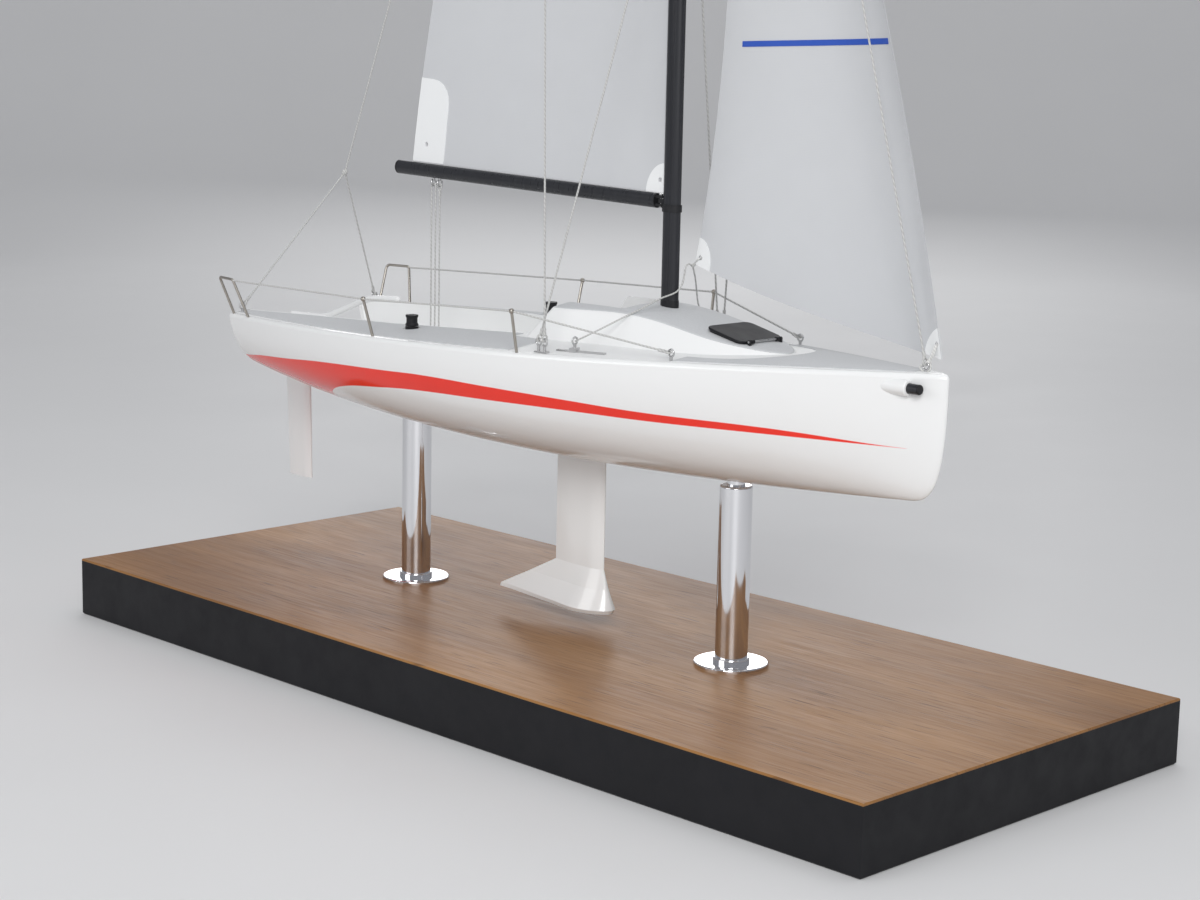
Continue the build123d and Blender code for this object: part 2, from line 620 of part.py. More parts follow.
def make_boom():
    """Boom tube with an end cap, and the fork that turns on the gooseneck pin."""
    fore_x, fore_z = BOOM_FORE
    aft_x, aft_z = BOOM_AFT
    start = Vector(fore_x, 0, fore_z)
    along = (Vector(aft_x, 0, aft_z) - start)
    height, width = BOOM_SECTION

    def section(grow, at):
        plane = Plane(origin=start + along * at, x_dir=(0, 1, 0), z_dir=along.normalized())
        return plane * Ellipse(width / 2 + grow, height / 2 + grow)

    space = extrude(section(0.15, 0), amount=along.length)
    tube = extrude(section(0, 0), amount=along.length) - extrude(section(-BOOM_WALL, 0), amount=along.length)
    slot = boom_top_strip(*BOOM_SLOT_X, FOOT_ROPE_DEPTH + 0.4, 1.0)
    tube = tube - side_block(slot, FILM + BOOM_SLOT_SIDE, -BOOM_SLOT_SIDE)
    cap = extrude(section(0, 1), amount=1.4)
    cap = fillet(cap.edges().sort_by(Axis.X)[0], 0.6) + extrude(section(-BOOM_WALL, 0.985), amount=3)
    plug = extrude(section(-BOOM_WALL, 0), amount=5) + extrude(section(0, 0), amount=-0.5)

    lug_z = fore_z
    plates = []
    for low in (lug_z - 2.0, lug_z + 1.0):
        plate = Pos(GOOSENECK_X, 0, low + 0.5) * Cylinder(1.35, 1.0)
        web = Pos((GOOSENECK_X + fore_x) / 2, 0, low + 0.5) * Box(GOOSENECK_X - fore_x, 2.7, 1.0)
        plates.append(plate + web)
    hole = Pos(GOOSENECK_X, 0, lug_z) * Cylinder(0.46, 12)
    fork = (plug + plates) - hole
    pin = Pos(GOOSENECK_X, 0, lug_z) * Cylinder(0.46, 4.4)
    pin = pin + [Pos(GOOSENECK_X, 0, lug_z + s * 2.35) * Cylinder(0.9, 0.5) for s in SIDES]
    lug = Pos(GOOSENECK_X, 0, lug_z) * Cylinder(1.25, 1.4) + Pos(40.4, 0, lug_z) * Box(3.0, 2.2, 1.4)
    band = ellipse_block((MAST_X, 0, lug_z - 3.6), 2.6, MAST_SECTION, 0.4)
    back = Pos(40.75, 0, lug_z - 1.5) * Box(0.6, 2.2, 4.4)
    mast_space = ellipse_block((MAST_X, 0, lug_z - 10), 20, MAST_SECTION)
    bore = Pos(GOOSENECK_X, 0, lug_z) * Cylinder(0.52, 3)
    save("boom", tube)
    save("boom_cap", cap - tube)
    save("boom_fork", fork - tube)
    save("gooseneck_pin", pin)
    save("gooseneck_bracket", (band + lug + back) - mast_space - bore)
    return tube, space


# ---- sails ----
def bezier_value(values, t):
    values = list(values)
    while len(values) > 1:
        values = [a + (b - a) * t for a, b in zip(values, values[1:])]
    return values[0]


def stay_point(z):
    """The forestay's point at height z."""
    foot = Vector(STAY_FOOT)
    top = Vector(MAST_X + MAST_SECTION[0] / 2 + 1.6, 0, HOUNDS_Z)
    return foot + (top - foot) * ((z - foot.Z) / (top.Z - foot.Z))


def belly(s):
    """A chord's depth curve: nought at both ends and 1 at a third."""
    return 6.75 * s * (1 - s) ** 2


def main_point(s, t):
    """Mainsail: s runs from luff to leech and t from foot to head."""
    roach = t * (1 - t) * (0.55 - 0.24 * t)
    width = MAIN_WIDTH * (1 - 0.93 * t + roach)
    foot = MAIN_FOOT_Z[0] + (MAIN_FOOT_Z[1] - MAIN_FOOT_Z[0]) * s
    depth = MAIN_CAMBER * tanh(9 * t) * (1 - 0.6 * t)
    return MAIN_LUFF_X - s * width, depth * belly(s), foot + (MAIN_HEAD_Z - foot) * t


def jib_point(s, t):
    """Jib: s runs from luff to leech and t from foot to head."""
    luff_z = JIB_TACK_Z + (JIB_HEAD_Z - JIB_TACK_Z) * t
    leech_z = JIB_CLEW_Z + (JIB_HEAD_Z - JIB_CLEW_Z) * t
    luff_x = stay_point(luff_z).X + JIB_TACK_LEAD * (1 - t) ** 2
    leech_x = JIB_CLEW_X + 34 * t * (1 - t) - 0.1 * t
    luff_y = bezier_value((2.2, 14, 5, 3, 1), t)
    leech_y = 6 - 5 * t + 50 * t * (1 - t) ** 2
    round_of_foot = 12 * s * (1 - s) * (1 - t) ** 8
    x = luff_x + (leech_x - luff_x) * s
    y = luff_y + (leech_y - luff_y) * s + JIB_CAMBER * (1 - t**3) * belly(s)
    return x, y, luff_z + (leech_z - luff_z) * s - round_of_foot


def sail_face(point, lift, columns=8, rows=14):
    grid = []
    for i in range(columns + 1):
        column = []
        for j in range(rows + 1):
            x, y, z = point(i / columns, j / rows)
            column.append((x, y + lift, z))
        grid.append(column)
    return Face.make_surface_from_array_of_points(grid, tol=0.01)


def film(point, lift, thickness):
    """A solid sheet over a sail's surface, lifted to one side of it."""
    return extrude(sail_face(point, lift), amount=thickness, dir=(0, 1, 0))


def on_both_faces(point, outline):
    """A thin patch on each face of a sail, inside an outline drawn as (x, z)."""
    block = side_block(outline)
    patches = []
    for lift in (-PATCH, FILM):
        patches.extend((film(point, lift, PATCH) & block).solids())
    return patches


def film_y(point, x, z):
    """Where a line across the boat meets a sail's starboard face."""
    hits = sail_face(point, 0).find_intersection_points(Axis((x, 0, z), (0, 1, 0)))
    return hits[0][0].Y


def tie_from(start, bends, point, hole):
    """A thread to the starboard face of a sail, through a hole and knotted behind it."""
    x, z = hole
    y = film_y(point, x, z)
    knot = Vector(x, y + FILM + 0.9, z)
    return wire_run([start, *bends, (x, y - 0.8, z), knot], THREAD) + Pos(*knot) * Sphere(0.6)


def make_sails(boom_space):
    hole = Circle(HOLE_RADIUS)
    corner = main_point(1, 0)
    clew = (corner[0] + 8.5, corner[2] + 7.1)
    tack = (MAIN_LUFF_X - 2.1, MAIN_FOOT_Z[0] + 4.7)
    head = (GOOSENECK_X, MAIN_HEAD_Z - 3.4)
    main_holes = [side_block(Pos(*at) * hole) for at in (clew, tack, head)]
    clew_patch = make_face(Polyline((-110, 190), (-82, 190), (-79.2, 219.6), (-80.5, 224.4),
                                    (-83.6, 227.2), (-87.4, 228.4), (-110, 230.2), close=True))
    tack_patch = Pos(MAIN_LUFF_X, MAIN_FOOT_Z[0]) * Ellipse(9.2, 10.7)
    foot_rope = boom_top_strip(BOOM_SLOT_X[0] + 0.3, BOOM_SLOT_X[1] - 0.3, FOOT_ROPE_DEPTH, 0.5)
    main_film = film(main_point, 0, FILM) + side_block(foot_rope, FILM, 0)
    save("mainsail", largest(main_film - main_holes))
    main_patches = on_both_faces(main_point, clew_patch) + on_both_faces(main_point, tack_patch)
    save("mainsail_patches", [largest((patch - main_holes) - boom_space) for patch in main_patches])
    under_crane = (GOOSENECK_X, 0, MAST_TOP_Z - 0.4)
    save("main_halyard", tie_from(under_crane, [(GOOSENECK_X, -0.9, MAIN_HEAD_Z)], main_point, head))

    jib_clew = jib_point(1, 0)
    jib_tack = jib_point(0, 0)
    clew_hole = (jib_clew[0] + 2.2, jib_clew[2] + 2.4)
    tack_hole = (jib_tack[0] - 2.9, jib_tack[2] + 4.6)
    head_hole = (JIB_CLEW_X + 2.0, JIB_HEAD_Z - 2.2)
    jib_holes = [side_block(Pos(*at) * hole) for at in (clew_hole, tack_hole, head_hole)]
    clew_fan = Pos(jib_clew[0], jib_clew[2]) * Ellipse(7.2, 9.7)
    tack_fan = Pos(jib_tack[0], jib_tack[2]) * Ellipse(8.9, 10.6)
    save("jib", film(jib_point, 0, FILM) - jib_holes)
    jib_patches = on_both_faces(jib_point, clew_fan) + on_both_faces(jib_point, tack_fan)
    save("jib_patches", [patch - jib_holes for patch in jib_patches])
    stripe = make_face(Polyline((66, 244.8), (134, 247.2), (133.6, 249.2), (66, 246.8), close=True))
    save("jib_draft_stripe", on_both_faces(jib_point, stripe))

    lashings = []
    for at, height in ((tack_hole, JIB_TACK_Z + 4.2), (head_hole, JIB_HEAD_Z + 3.0)):
        grommet = stay_point(height)
        along = stay_point(height + 1) - grommet
        start = grommet + Vector(0, -1.1, 0)
        lashings.append(ring(grommet, along, 1.1, THREAD) + tie_from(start, [], jib_point, at))

    y = film_y(jib_point, *clew_hole)
    centre = Vector(clew_hole[0] - 1.5, y, clew_hole[1] - 1.2)
    clew_ring = ring(centre, (-1.2, 0, 1.5), hypot(1.5, 1.2), THREAD)
    knot_point = (centre.X - 2.4, y, centre.Z - 1.9)
    tie = rod((centre.X - 1.5, y, centre.Z - 1.2), knot_point, THREAD)
    clew_tie = clew_ring + tie + Pos(*knot_point) * Sphere(0.75)
    save("jib_lashings", [*lashings, clew_tie])
    return knot_point, clew_tie


# ---- deck gear and rigging ----
def make_rails(outer):
    deck = deck_surface(hull_rows()[0])
    stanchions, lifelines, hoops = [], [], []
    for side in SIDES:
        foot_a, top_a, top_b, foot_b = HOOPS
        points = [
            (foot_a[0], side * foot_a[1], height_on(deck, *foot_a) - 1.2),
            (top_a[0], side * top_a[1], top_a[2]),
            (top_b[0], side * top_b[1], top_b[2]),
            (foot_b[0], side * foot_b[1], height_on(deck, *foot_b) - 1.2),
        ]
        hoop = bent_rod(points, 1.6, RAIL) - outer
        hoop = largest(hoop)
        hoops.append(hoop)
        eye_point = (LIFELINE_END[0], side * LIFELINE_END[1], LIFELINE_END[2] + 1.6)
        tops = [(x, side * y, z) for (_, (x, y, z)) in STANCHIONS]
        start = (top_b[0] + 0.3, side * top_b[1], top_b[2] - 0.4)
        loop, end = loop_end(eye_point, tops[1], (0, 1, 0), WIRE)
        line = wire_run([start, *tops, end], WIRE) + loop
        lifelines.append(largest(line - hoop))
        for (foot_x, foot_y), (x, y, z) in STANCHIONS:
            top = (x, side * y, z)
            foot = (foot_x, side * foot_y, height_on(deck, foot_x, foot_y) - 1.2)
            post = rod(foot, top, RAIL) + Pos(*top) * Sphere(1.0)
            stanchions.append(largest(post - line - outer))
    save("pushpit_hoops", hoops)
    save("stanchions", stanchions)
    save("lifelines", lifelines)


def make_pad_eyes(outer):
    """Eyes on the deck and transom that rigging or a line is tied to."""
    chainplates, pad_eyes = [], []
    for side in SIDES:
        middle = sum(CHAINPLATE_X) / 2
        plate = Pos(middle, side * CHAINPLATE_Y, 135.4) * Box(6.4, 1.7, 4.0)
        plate = plate & slab(0.6, up=True)
        y = side * CHAINPLATE_Y
        eyes = [eye((x, y, EYE_Z), (x, y, 134), (0, 1, 0)) for x in CHAINPLATE_X]
        chainplates.append(largest((plate + eyes) - outer))
        x, y, z = BACKSTAY_EYE
        pad_eyes.append(largest(eye((x, side * y, z), (x, side * y, 126), (1, 0, 0)) - outer))
        x, y, z = LIFELINE_END
        pad_eyes.append(largest(eye((x, side * y, z + 1.6), (x, side * y, 134), (0, 1, 0)) - outer))
        x = transom_x(123.3)
        lug = eye((x - 1.8, side * 36, 123.3), (x + 3, side * 36, 123.3), (0, 1, 0)) - outer
        pad_eyes.append(lug.solids().sort_by(Axis.X)[0])
    pad_eyes.append(largest(eye(STAY_FOOT, (STAY_FOOT[0], 0, 136), (0, 1, 0)) - outer))
    save("chainplates", chainplates)
    save("pad_eyes", pad_eyes)


def make_standing_rigging(spreaders, crane):
    mast_space = ellipse_block((MAST_X, 0, MAST_FOOT_Z), 400, MAST_SECTION)
    mast_side = MAST_SECTION[1] / 2 + 1.7
    mast_front = MAST_X + MAST_SECTION[0] / 2 + 1.6
    tangs = [eye((mast_front, 0, HOUNDS_Z), (MAST_X + 2, 0, HOUNDS_Z), (0, 1, 0)) - mast_space]
    caps, lowers = [], []
    for side in SIDES:
        hounds = (46, side * mast_side, HOUNDS_Z - 4)
        lower_tang = (46, side * mast_side, LOWERS_Z)
        for point in (hounds, lower_tang):
            tangs.append(eye(point, (point[0], side * 1.0, point[2]), (1, 0, 0)) - mast_space)
        tip = (SPREADER_TIP[0], side * SPREADER_TIP[1], SPREADER_TIP[2])
        cap_eye = (CHAINPLATE_X[0], side * CHAINPLATE_Y, EYE_Z)
        lower_eye = (CHAINPLATE_X[1], side * CHAINPLATE_Y, EYE_Z)
        caps.append(wire_between(cap_eye, (0, 1, 0), hounds, (1, 0, 0), WIRE, [tip]))
        lowers.append(wire_between(lower_eye, (0, 1, 0), lower_tang, (1, 0, 0), WIRE))
    save("mast_tangs", [tang.solids().sort_by(SortBy.VOLUME)[-1] for tang in tangs])
    save("shrouds", [*caps, *lowers])
    save("spreaders", [largest(arm - caps) for arm in spreaders])

    forestay = wire_between(STAY_FOOT, (0, 1, 0), (mast_front, 0, HOUNDS_Z), (0, 1, 0), WIRE)
    save("forestay", forestay)

    knot = Vector(BRIDLE_KNOT)
    top = Vector(CRANE_X, 0, CRANE_TOP_Z + 0.5)
    backstay = rod(top, knot, WIRE) + Pos(*top) * Sphere(0.9) + Pos(*knot) * Sphere(1.2)
    for side in SIDES:
        anchor = (BACKSTAY_EYE[0], side * BACKSTAY_EYE[1], BACKSTAY_EYE[2])
        loop, start = loop_end(anchor, knot, (1, 0, 0), WIRE)
        backstay += loop + rod(start, knot, WIRE)
    save("backstay", backstay)
    save("masthead_crane", crane - backstay)


def make_mainsheet(boom):
    """Three falls from two eyes under the boom to a block on the cockpit sole."""
    aft, middle, fore = MAINSHEET_X
    turn = (middle - aft) / 2
    eye_z = 187.7
    eyes = [eye((x, 0, eye_z), (x, 0, 191.5), (1, 0, 0)) - boom for x in (aft + turn, fore)]
    fitted = [shape.solids().sort_by(Axis.Z)[0] for shape in eyes]
    save("boom_eyes", fitted)

    low = SOLE_Z + 3.2
    top = eye_z - 0.35
    falls = bent_rod([(aft, 0, low), (aft, 0, top), (middle, 0, top), (middle, 0, low)], turn * 0.995, THREAD)
    loop, start = loop_end((fore, 0, eye_z), (fore, 0, low), (1, 0, 0), THREAD)
    third = rod((fore, 0, low), start, THREAD) + loop
    save("mainsheet", [falls, third])

    body = Pos(middle, 0, SOLE_Z + 2.9) * Box(7.4, 3.0, 3.4)
    body = fillet(body.edges().filter_by(Axis.Y), 1.1)
    base = Pos(middle, 0, SOLE_Z + 0.6) * Box(9.4, 5.0, 1.2)
    base = fillet(base.edges().filter_by(Axis.Z), 1.6)
    save("mainsheet_block", (base + body) - falls - third)


def make_jib_gear(outer, knot_point, knot):
    tracks, cars, sheets = [], [], []
    car_x, car_y = JIB_CAR
    for side in SIDES:
        turn = Rot(0, 0, -9 * side)
        track = Pos(40.0, side * 40.2, 0) * turn * Rectangle(21.3, 1.2)
        rail = largest((slab(TRACK_RISE, up=True) & prism(track)) - outer)
        tracks.append(rail)
        saddle = prism(Pos(car_x, side * (car_y + 0.5), 0) * turn * Rectangle(3.0, 2.4))
        car = (slab(TRACK_RISE + 0.9, up=True) & saddle) - rail
        ring_point = (car_x, side * (car_y + 0.3), JIB_CAR_EYE_Z)
        car = car + eye(ring_point, (car_x, side * (car_y + 0.3), 135.0), (1, 0, 0))
        cars.append(largest(car - rail - outer))
        route = SHEET_ROUTES[side]
        end = (car_x, ring_point[1], JIB_CAR_EYE_Z - 0.2)
        thread = curved_rod([knot_point, *route, end], THREAD)
        sheets.append(largest(thread - knot - cars[-1]))
    save("jib_tracks", tracks)
    save("jib_cars", cars)
    save("jib_sheet_starboard", sheets[0])
    save("jib_sheet_port", sheets[1])


def make_winches(outer):
    x, y = WINCH
    deck_top = height_on(deck_surface(hull_rows()[0]), x, y)
    bases = []
    for side, name in zip(SIDES, ("starboard", "port")):
        base = Pos(x, side * y, deck_top) * Cylinder(2.55, 1.8) - outer
        spindle = Pos(x, side * y, deck_top + 2.8) * Cylinder(0.9, 4.2)
        bases.append(base.solids().sort_by(Axis.Z)[-1] + spindle)
        low = deck_top + 1.2
        profile = Polyline((0.96, low), (2.55, low), (2.55, low + 0.6), (2.15, low + 1.2),
                           (2.15, low + 2.9), (2.45, low + 3.5), (2.45, low + 4.2), (0, low + 4.2),
                           (0, low + 3.9), (0.96, low + 3.9), close=True)
        drum = revolve(Plane.XZ * make_face(profile), axis=Axis.Z)
        drum = Pos(x, side * y, 0) * (drum - Pos(0, 0, low + 4.15) * Cylinder(0.8, 0.2))
        save(f"winch_drum_{name}", drum)
    save("winch_bases", bases)


def main():
    os.makedirs("parts", exist_ok=True)
    outer_form = hull_form()
    inner_form = hull_form(WALL, 3.0)
    studs = make_stand(outer_form)
    keel = make_keel(outer_form)
    make_rudder(outer_form)
    make_hull(outer_form, inner_form, studs, keel)
    footprints = [(*WINCH, 3.3), (BACKSTAY_EYE[0], BACKSTAY_EYE[1], 1.0)]
    roof_block, cabin = make_deck(inner_form, footprints)
    make_hatch(cabin)
    spreaders, crane = make_mast(roof_block)
    boom, boom_space = make_boom()
    knot_point, knot = make_sails(boom_space)
    make_rails(outer_form)
    make_pad_eyes(outer_form)
    make_standing_rigging(spreaders, crane)
    make_mainsheet(boom)
    make_jib_gear(outer_form, knot_point, knot)
    make_winches(outer_form)


main()
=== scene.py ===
import json
from math import atan2, cos, exp, hypot, pi, radians, sin, tanh

import bpy
from mathutils import Matrix, Vector


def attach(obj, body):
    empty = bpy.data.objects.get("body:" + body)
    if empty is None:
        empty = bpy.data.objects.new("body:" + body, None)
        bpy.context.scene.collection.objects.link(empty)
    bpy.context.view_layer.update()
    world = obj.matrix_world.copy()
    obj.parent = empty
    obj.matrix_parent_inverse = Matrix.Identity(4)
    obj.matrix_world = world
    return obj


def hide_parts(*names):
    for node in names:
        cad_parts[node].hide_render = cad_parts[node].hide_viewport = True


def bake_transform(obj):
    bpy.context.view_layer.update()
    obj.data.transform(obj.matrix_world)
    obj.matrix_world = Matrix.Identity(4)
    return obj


# A model sailboat on its board. Rigid parts keep their CAD shapes and get a material here.
# The sails, the loose sheets and the lashings are made here and take the place of the CAD's.

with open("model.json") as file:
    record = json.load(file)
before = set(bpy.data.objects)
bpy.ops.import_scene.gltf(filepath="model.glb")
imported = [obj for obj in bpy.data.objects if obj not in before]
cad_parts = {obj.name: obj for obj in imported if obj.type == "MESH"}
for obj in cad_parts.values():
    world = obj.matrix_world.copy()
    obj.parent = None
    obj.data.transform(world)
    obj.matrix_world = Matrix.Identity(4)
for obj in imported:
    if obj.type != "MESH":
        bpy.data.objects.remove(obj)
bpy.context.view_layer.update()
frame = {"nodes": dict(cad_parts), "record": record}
scene = bpy.context.scene
MM = 0.001

# ---- camera ----
CAMERA_AT = (0.642549, -0.625905, 0.253472)
CAMERA_YAW, CAMERA_PITCH, CAMERA_ROLL = 2.3615, -0.1785, 0.0205
LENS, SENSOR = 71.637, 36.0

# ---- sails, the same driving dimensions as the CAD, millimetres ----
FILM = 0.35
PATCH = 0.2
HOLE_RADIUS = 0.9
STAY_FOOT = (162.2, 0.0, 142.8)
STAY_TOP = (49.8, 0.0, 545.0)
MAIN_LUFF_X = 40.35
MAIN_FOOT_Z = (191.9, 195.7)
MAIN_WIDTH = 140.9
MAIN_HEAD_X, MAIN_HEAD_Z = 38.9, 584.0
MAIN_TAPER = 0.93
MAIN_ROACH = (0.55, 0.24)
MAIN_CAMBER = 5.5
JIB_TACK_Z, JIB_CLEW_Z, JIB_CLEW_X, JIB_HEAD_Z = 145.4, 166.7, 51.2, 528.0
JIB_CAMBER = 5.0
JIB_TACK_LEAD = 5.3
JIB_LUFF_Y = (2.2, 14, 5, 3, 1)
JIB_LEECH_ROACH = 34
JIB_LEECH_TWIST = 50
JIB_FOOT_ROUND = 12
MAIN_GRID, JIB_GRID = (70, 150), (60, 150)

# ---- creases at a sail's corners, millimetres and radians ----
CREASE_START, CREASE_REACH = 14.0, 26.0
CREASE_SPREAD, CREASES_PER_RADIAN = 0.6, 9.0

# ---- the jib sheets' routes from the clew's knot to the cars, millimetres ----
THREAD = 0.6
KNOT = 1.3
CLEW_KNOT = (49.5, 6.3, 166.0)
SHEET_ROUTES = {
    "jib_sheet_starboard": [
        (50.0, 3.6, 167.1), (49.8, 2.2, 165.9), (49.7, 1.8, 162.8), (49.6, 1.3, 159.8),
        (49.3, -0.7, 157.2), (48.8, -3.1, 156.1), (47.4, -8.1, 154.8), (45.4, -14.2, 151.7),
        (42.6, -23.5, 147.9), (39.6, -32.5, 143.8), (37.0, -40.4, 140.6),
    ],
    "jib_sheet_port": [
        (47.8, 9.5, 162.2), (45.5, 12.5, 159.3), (41.9, 17.0, 155.0), (38.6, 21.2, 150.4),
        (36.8, 25.0, 146.6), (36.4, 31.0, 143.2), (37.0, 40.4, 140.6),
    ],
}


# ---- node helpers ----
def add(tree, kind, inputs=None, **settings):
    """Adds a shader node; an input's value is a number, a colour or another node's socket."""
    node = tree.nodes.new("ShaderNode" + kind)
    for name, value in settings.items():
        setattr(node, name, value)
    for key, value in (inputs or {}).items():
        if isinstance(value, bpy.types.NodeSocket):
            tree.links.new(value, node.inputs[key])
        else:
            node.inputs[key].default_value = value
    return node


def where(tree):
    """A point of the piece in the frame's axes."""
    return add(tree, "TexCoord").outputs["Object"]


def noise(tree, scale, stretch=(1, 1, 1), detail=3.0, roughness=0.5, distortion=0.0):
    """A soft noise; a stretch under 1 draws it out along that axis."""
    point = add(tree, "Mapping", {"Vector": where(tree), "Scale": stretch}).outputs[0]
    made = add(tree, "TexNoise", {
        "Vector": point, "Scale": scale, "Detail": detail,
        "Roughness": roughness, "Distortion": distortion,
    })
    return made.outputs["Fac"]


def remap(tree, value, low, high, to_low, to_high):
    """Carries low..high to to_low..to_high and holds the value there beyond."""
    made = add(tree, "MapRange", {
        "Value": value, "From Min": low, "From Max": high, "To Min": to_low, "To Max": to_high,
    })
    return made.outputs[0]


def vary(tree, fac, low, high):
    """Carries a noise's usual span to low..high."""
    return remap(tree, fac, 0.3, 0.7, low, high)


def calc(tree, operation, *values):
    made = add(tree, "Math", operation=operation)
    for i, value in enumerate(values):
        if isinstance(value, bpy.types.NodeSocket):
            tree.links.new(value, made.inputs[i])
        else:
            made.inputs[i].default_value = value
    return made.outputs[0]


def mix(tree, factor, first, second):
    """A colour that goes from first to second as the factor goes from 0 to 1."""
    made = add(tree, "Mix", data_type="RGBA")
    for socket, value in zip((made.inputs[0], made.inputs[6], made.inputs[7]), (factor, first, second)):
        if isinstance(value, bpy.types.NodeSocket):
            tree.links.new(value, socket)
        elif isinstance(value, tuple):
            socket.default_value = (*value, 1.0)
        else:
            socket.default_value = value
    return made.outputs[2]


def shade(colour, factor):
    return tuple(min(1.0, channel * factor) for channel in colour)


def tones(tree, factor, colour, dark, light):
    """The colour times dark where the factor is 0, and times light where it is 1."""
    return mix(tree, factor, shade(colour, dark), shade(colour, light))


def material(name, **sockets):
    """A new material with its Principled shader; sockets sets the shader's constant inputs."""
    made = bpy.data.materials.new(name)
    made.use_nodes = True
    tree = made.node_tree
    shader = tree.nodes["Principled BSDF"]
    for key, value in sockets.items():
        shader.inputs[key.replace("_", " ")].default_value = value
    return made, tree, shader


def link(tree, socket, shader, name):
    tree.links.new(socket, shader.inputs[name])


def bump(tree, shader, height, strength, distance):
    made = add(tree, "Bump", {"Height": height, "Strength": strength, "Distance": distance})
    link(tree, made.outputs[0], shader, "Normal")


# ---- materials ----
WHITE = (0.86, 0.865, 0.86)
RED = (0.88, 0.020, 0.003)
DECK_GREY = (0.60, 0.61, 0.62)
ROOF_GREY = (0.62, 0.63, 0.64)
SEAM_GREY = (0.25, 0.25, 0.26)
FLOOR_GREYS = ((0.74, 0.74, 0.74), (0.77, 0.77, 0.77))
SPAR_BLACKS = ((0.012, 0.013, 0.016), (0.024, 0.025, 0.030))
VENEER_STOPS = ((0.30, (0.185, 0.079, 0.020)), (0.44, (0.270, 0.122, 0.032)),
                (0.56, (0.335, 0.158, 0.044)), (0.72, (0.410, 0.205, 0.062)))
VENEER_FIBRE = (0.160, 0.066, 0.018)
VENEER_PORE = (0.070, 0.024, 0.008)
# A wave texture's scale times its distance from band to band, in metres.
WAVE_LENGTH = 0.314
# The cabin's paint turns from white to grey where its surface leans about this much: the normal's Z.
ROOF_TURN = 0.81

# The red band's edges as (x, z) millimetres along the hull, its two ends, and the box they lie in.
BAND_TOP = ((-172, 112.2), (-146, 114.8), (-121, 116.8), (-97, 118.8), (-50, 121.0), (-31, 121.7),
            (4, 121.2), (37, 120.2), (67, 118.9), (114, 117.9), (160, 115.5))
BAND_LOW = ((-172, 84.0), (-118, 88.0), (-100, 105.5), (-82, 110.7), (-60, 113.2), (-38, 115.0),
            (4, 116.0), (37, 116.2), (68, 115.8), (114, 115.7), (160, 115.45))
BAND_ENDS = (-169.5, 160.0)
BAND_X = (-180.0, 180.0)
BAND_Z = (80.0, 130.0)
EDGE_SOFTNESS, END_SOFTNESS = 0.15, 0.5


def painted(name, colour, roughness, spread, mottle, grain, bumps, **sockets):
    """A paint, plastic or metal with a faint cloudiness, uneven gloss and a fine surface grain."""
    made, tree, shader = material(name, **sockets)
    cloud = noise(tree, 35.0, detail=4.0)
    link(tree, tones(tree, cloud, colour, 1 - mottle, 1 + mottle), shader, "Base Color")
    link(tree, vary(tree, noise(tree, 120.0), roughness - spread, roughness + spread), shader, "Roughness")
    bump(tree, shader, noise(tree, grain, detail=2.0), bumps, 0.0002)
    return made


def cloth(name, colour, pitch, mottle, weave):
    """Fine sailcloth: two crossed sets of yarns over a faint cloudiness."""
    made, tree, shader = material(name)
    point = where(tree)
    yarns = []
    for direction in ("X", "Z"):
        yarn = add(tree, "TexWave", {"Vector": point, "Scale": WAVE_LENGTH / pitch, "Distortion": 0.6,
                                     "Detail": 1.0, "Detail Scale": 2.0},
                   bands_direction=direction, wave_profile="SIN")
        yarns.append(yarn.outputs["Fac"])
    height = calc(tree, "MULTIPLY", *yarns)
    base = tones(tree, noise(tree, 60.0, detail=5.0), colour, 1 - mottle, 1 + mottle)
    crossings = calc(tree, "MULTIPLY", height, weave)
    link(tree, mix(tree, crossings, base, shade(colour, 0.8)), shader, "Base Color")
    link(tree, vary(tree, noise(tree, 200.0), 0.5, 0.62), shader, "Roughness")
    bump(tree, shader, height, 0.12, 0.0001)
    return made


def thread(name, colour, pitch):
    """Twisted line: slanting strands in its colour and its surface."""
    made, tree, shader = material(name, Sheen_Weight=0.15)
    wave = {"Vector": where(tree), "Scale": WAVE_LENGTH / pitch, "Distortion": 0.8}
    strand = add(tree, "TexWave", wave, bands_direction="DIAGONAL", wave_profile="SIN").outputs["Fac"]
    link(tree, tones(tree, strand, colour, 0.82, 1.06), shader, "Base Color")
    link(tree, vary(tree, noise(tree, 300.0), 0.6, 0.75), shader, "Roughness")
    bump(tree, shader, strand, 0.35, 0.0001)
    return made


def band_edge(tree, along, points):
    """The height of the band's edge at a station, from a curve through points, as a share of BAND_Z."""
    curve = add(tree, "FloatCurve", {"Value": along})
    line = curve.mapping.curves[0]
    scaled = [((x - BAND_X[0]) / (BAND_X[1] - BAND_X[0]), (z - BAND_Z[0]) / (BAND_Z[1] - BAND_Z[0]))
              for x, z in points]
    line.points[0].location = (0.0, scaled[0][1])
    line.points[1].location = (1.0, scaled[-1][1])
    for at in scaled:
        line.points.new(*at)
    curve.mapping.update()
    return curve.outputs[0]


